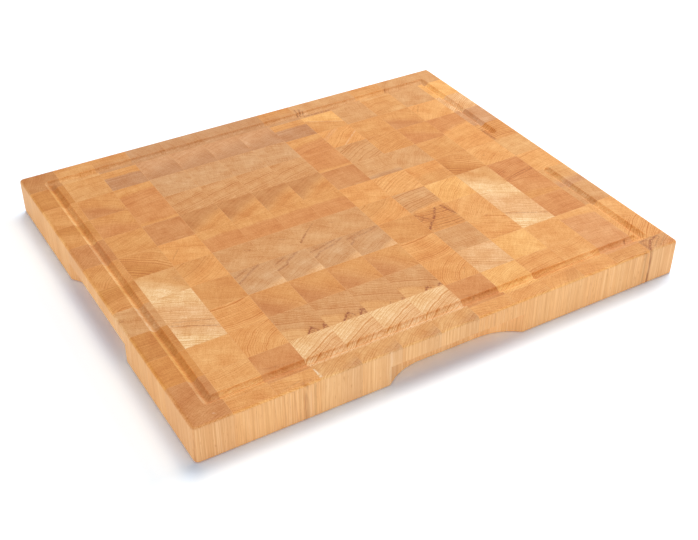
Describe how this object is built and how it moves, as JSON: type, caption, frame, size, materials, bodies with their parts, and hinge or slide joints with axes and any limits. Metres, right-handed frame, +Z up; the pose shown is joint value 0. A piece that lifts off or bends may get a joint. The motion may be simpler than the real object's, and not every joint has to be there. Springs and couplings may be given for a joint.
{
  "type": "chopping block",
  "caption": "Rectangular end-grain beech chopping block with a juice groove around the top, a bare land on one side and finger grips cut under its edges.",
  "frame": {"origin": "middle of the underside, on the surface that the board lies on", "axes": "+X along the length towards the side with the bare land, +Y along the width towards the back edge, +Z up to the cutting surface"},
  "size_m": [0.5, 0.424, 0.0375],
  "materials": {
    "oiled_beech": "oiled end grain, satin",
    "wood_glue": "cured wood glue, sanded flush"
  },
  "bodies": {
    "root": {"end_grain_strip_01": "oiled_beech", "end_grain_strip_02": "oiled_beech", "end_grain_strip_03": "oiled_beech", "end_grain_strip_04": "oiled_beech", "end_grain_strip_05": "oiled_beech", "end_grain_strip_06": "oiled_beech", "end_grain_strip_07": "oiled_beech", "end_grain_strip_08": "oiled_beech", "end_grain_strip_09": "oiled_beech", "end_grain_strip_10": "oiled_beech", "end_grain_strip_11": "oiled_beech", "end_grain_strip_12": "oiled_beech", "end_grain_strip_13": "oiled_beech", "block_glue_lines_01": "wood_glue", "block_glue_lines_02": "wood_glue", "block_glue_lines_03": "wood_glue", "block_glue_lines_04": "wood_glue", "block_glue_lines_05": "wood_glue", "block_glue_lines_06": "wood_glue", "block_glue_lines_07": "wood_glue", "block_glue_lines_08": "wood_glue", "block_glue_lines_09": "wood_glue", "block_glue_lines_10": "wood_glue", "block_glue_lines_11": "wood_glue", "block_glue_lines_12": "wood_glue", "block_glue_lines_13": "wood_glue", "strip_glue_line_01": "wood_glue", "strip_glue_line_02": "wood_glue", "strip_glue_line_03": "wood_glue", "strip_glue_line_04": "wood_glue", "strip_glue_line_05": "wood_glue", "strip_glue_line_06": "wood_glue", "strip_glue_line_07": "wood_glue", "strip_glue_line_08": "wood_glue", "strip_glue_line_09": "wood_glue", "strip_glue_line_10": "wood_glue", "strip_glue_line_11": "wood_glue", "strip_glue_line_12": "wood_glue"}
  },
  "joints": []
}
